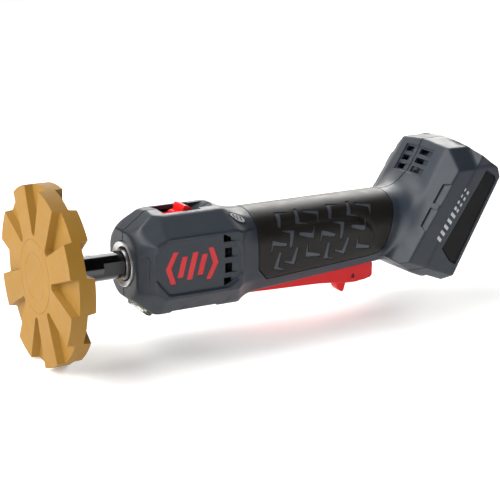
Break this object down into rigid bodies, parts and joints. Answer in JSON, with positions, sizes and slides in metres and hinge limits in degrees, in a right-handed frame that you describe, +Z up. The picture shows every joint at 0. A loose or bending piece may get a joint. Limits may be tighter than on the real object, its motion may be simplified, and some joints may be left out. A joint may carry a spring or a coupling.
{
  "type": "die grinder",
  "caption": "Cordless inline die grinder with a grooved rubber eraser wheel on its spindle, a rubber grip sleeve, a squeeze lever with a lock-off tab and an open battery foot.",
  "frame": {"origin": "centre of the eraser wheel's outer face, on the spindle axis", "axes": "+X along the spindle axis from the wheel towards the battery foot, +Z up with the squeeze lever below, +Y to the side with the screw heads"},
  "size_m": [0.2895, 0.1, 0.101],
  "materials": {
    "housing_plastic": "matte",
    "sleeve_rubber": "matte",
    "red_plastic": "satin",
    "steel": "satin",
    "black_steel": "gloss",
    "copper": "satin",
    "brass": "satin",
    "board": "satin",
    "eraser_rubber": "matte",
    "clear_plastic": "gloss",
    "sink_aluminium": "satin",
    "black_plastic": "matte",
    "lead_red": "satin",
    "lead_black": "satin",
    "lead_white": "satin"
  },
  "bodies": {
    "housing": {"housing_left": "housing_plastic", "housing_right": "housing_plastic", "grip_sleeve": "sleeve_rubber", "foot_pad_left": "sleeve_rubber", "foot_pad_right": "sleeve_rubber", "front_bearing_outer": "steel", "rear_bearing_outer": "steel", "nose_ring": "steel", "stator_core": "steel", "lever_pin": "steel", "lever_spring": "steel", "housing_screw_1": "black_steel", "housing_screw_2": "black_steel", "housing_screw_3": "black_steel", "housing_screw_4": "black_steel", "housing_screw_5": "black_steel", "housing_screw_6": "black_steel", "housing_screw_7": "black_steel", "stator_coil_1": "copper", "stator_coil_2": "copper", "stator_coil_3": "copper", "stator_coil_4": "copper", "stator_coil_5": "copper", "stator_coil_6": "copper", "sensor_board": "board", "controller_board": "board", "lamp_board": "board", "switch_body": "black_plastic", "controller_case": "black_plastic", "terminal_block": "black_plastic", "lamp_lens": "clear_plastic", "heat_sink": "sink_aluminium", "battery_terminal_1": "brass", "battery_terminal_2": "brass", "battery_terminal_3": "brass", "motor_lead_1": "lead_red", "motor_lead_2": "lead_black", "motor_lead_3": "lead_white"},
    "spindle": {"eraser_wheel": "eraser_rubber", "wheel_insert": "steel", "wheel_arbor": "black_steel", "spindle": "steel", "front_bearing_inner": "steel", "rear_bearing_inner": "steel", "lock_collar": "steel", "rotor_core": "steel", "rotor_magnet": "black_steel", "cooling_fan": "black_plastic"},
    "lever": {"lever": "red_plastic", "latch_pin": "black_steel"},
    "latch": {"lock_off_latch": "red_plastic"},
    "plunger": {"switch_plunger": "red_plastic"},
    "spindle_lock": {"lock_button": "red_plastic", "lock_fork": "steel"}
  },
  "joints": [
    {"name": "spindle_spin", "type": "hinge", "parent": "housing", "child": "spindle", "pos_m": [0.06, 0, 0], "axis": [1, 0, 0], "continuous": true},
    {"name": "lever_squeeze", "type": "hinge", "parent": "housing", "child": "lever", "pos_m": [0.131, 0, -0.021], "axis": [0, -1, 0], "range_deg": [0, 5.5], "stiffness_Nm_per_rad": 2, "springref_deg": -8.59, "deforming": ["lever_spring"]},
    {"name": "latch_swing", "type": "hinge", "parent": "lever", "child": "latch", "pos_m": [0.1983, 0, -0.0256], "axis": [0, 1, 0], "range_deg": [0, 25], "stiffness_Nm_per_rad": 0.02, "springref_deg": -17.19},
    {"name": "plunger_press", "type": "slide", "parent": "housing", "child": "plunger", "axis": [0, 0, 1], "range_m": [0, 0.003]},
    {"name": "lock_slide", "type": "slide", "parent": "housing", "child": "spindle_lock", "axis": [-1, 0, 0], "range_m": [0, 0.006], "stiffness_N_per_m": 400, "springref_m": -0.005}
  ],
  "couplings": [
    {"joint": "plunger_press", "follows": "lever_squeeze", "m_per_rad": 0.029}
  ]
}
